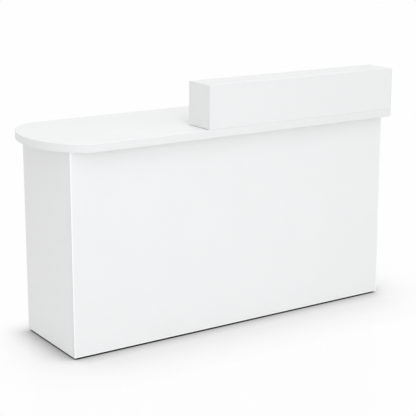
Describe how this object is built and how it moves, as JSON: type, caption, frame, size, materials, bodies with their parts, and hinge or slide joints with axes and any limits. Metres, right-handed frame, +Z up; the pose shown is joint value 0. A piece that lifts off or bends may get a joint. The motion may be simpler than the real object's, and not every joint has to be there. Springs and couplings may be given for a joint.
{
  "type": "reception desk",
  "caption": "White reception counter with a rounded worktop end, a raised box along part of the visitor's side, open shelves behind and levelling feet.",
  "frame": {"origin": "on the floor, under the middle of the worktop's outline", "axes": "+X along the length, from the rounded end to the riser's end; +Y from the visitor's side to the staff side; +Z up"},
  "size_m": [1.805, 0.62, 1.15],
  "materials": {
    "white_board": "white melamine on chipboard, satin",
    "white_edging": "extruded white edging, satin",
    "zinc_steel": "zinc plated",
    "beech": "bare turned beech",
    "black_plastic": "moulded, matt"
  },
  "bodies": {
    "desk": {"adjustable_shelf_left": "white_board", "adjustable_shelf_right": "white_board", "bottom_board": "white_board", "centre_divider": "white_board", "foot_tee_nut_front_left": "zinc_steel", "foot_tee_nut_front_middle": "zinc_steel", "foot_tee_nut_front_right": "zinc_steel", "foot_tee_nut_rear_left": "zinc_steel", "foot_tee_nut_rear_middle": "zinc_steel", "foot_tee_nut_rear_right": "zinc_steel", "front_panel": "white_board", "left_end_panel": "white_board", "rear_rail_left": "white_board", "rear_rail_right": "white_board", "right_end_panel": "white_board", "riser_dowel_front_left": "beech", "riser_dowel_front_right": "beech", "riser_dowel_left_end_front": "beech", "riser_dowel_left_end_rear": "beech", "riser_dowel_right_end_front": "beech", "riser_dowel_right_end_rear": "beech", "riser_front": "white_board", "riser_left_end": "white_board", "riser_right_end": "white_board", "riser_top": "white_board", "shelf_pin_left_bay_front_left": "zinc_steel", "shelf_pin_left_bay_front_right": "zinc_steel", "shelf_pin_left_bay_rear_left": "zinc_steel", "shelf_pin_left_bay_rear_right": "zinc_steel", "shelf_pin_right_bay_front_left": "zinc_steel", "shelf_pin_right_bay_front_right": "zinc_steel", "shelf_pin_right_bay_rear_left": "zinc_steel", "shelf_pin_right_bay_rear_right": "zinc_steel", "worktop": "white_board", "worktop_bracket_divider_left": "zinc_steel", "worktop_bracket_divider_right": "zinc_steel", "worktop_bracket_front_left_bay": "zinc_steel", "worktop_bracket_front_right_bay": "zinc_steel", "worktop_bracket_left_end_front": "zinc_steel", "worktop_bracket_left_end_rear": "zinc_steel", "worktop_bracket_right_end_front": "zinc_steel", "worktop_bracket_right_end_rear": "zinc_steel", "worktop_edging": "white_edging"},
    "foot_front_left": {"foot_pad_front_left": "black_plastic", "foot_stud_front_left": "zinc_steel"},
    "foot_rear_left": {"foot_pad_rear_left": "black_plastic", "foot_stud_rear_left": "zinc_steel"},
    "foot_front_middle": {"foot_pad_front_middle": "black_plastic", "foot_stud_front_middle": "zinc_steel"},
    "foot_rear_middle": {"foot_pad_rear_middle": "black_plastic", "foot_stud_rear_middle": "zinc_steel"},
    "foot_front_right": {"foot_pad_front_right": "black_plastic", "foot_stud_front_right": "zinc_steel"},
    "foot_rear_right": {"foot_pad_rear_right": "black_plastic", "foot_stud_rear_right": "zinc_steel"}
  },
  "joints": [
    {"name": "foot_front_left_height", "type": "slide", "parent": "desk", "child": "foot_front_left", "axis": [0, 0, -1], "range_m": [0, 0.01]},
    {"name": "foot_rear_left_height", "type": "slide", "parent": "desk", "child": "foot_rear_left", "axis": [0, 0, -1], "range_m": [0, 0.01]},
    {"name": "foot_front_middle_height", "type": "slide", "parent": "desk", "child": "foot_front_middle", "axis": [0, 0, -1], "range_m": [0, 0.01]},
    {"name": "foot_rear_middle_height", "type": "slide", "parent": "desk", "child": "foot_rear_middle", "axis": [0, 0, -1], "range_m": [0, 0.01]},
    {"name": "foot_front_right_height", "type": "slide", "parent": "desk", "child": "foot_front_right", "axis": [0, 0, -1], "range_m": [0, 0.01]},
    {"name": "foot_rear_right_height", "type": "slide", "parent": "desk", "child": "foot_rear_right", "axis": [0, 0, -1], "range_m": [0, 0.01]}
  ]
}
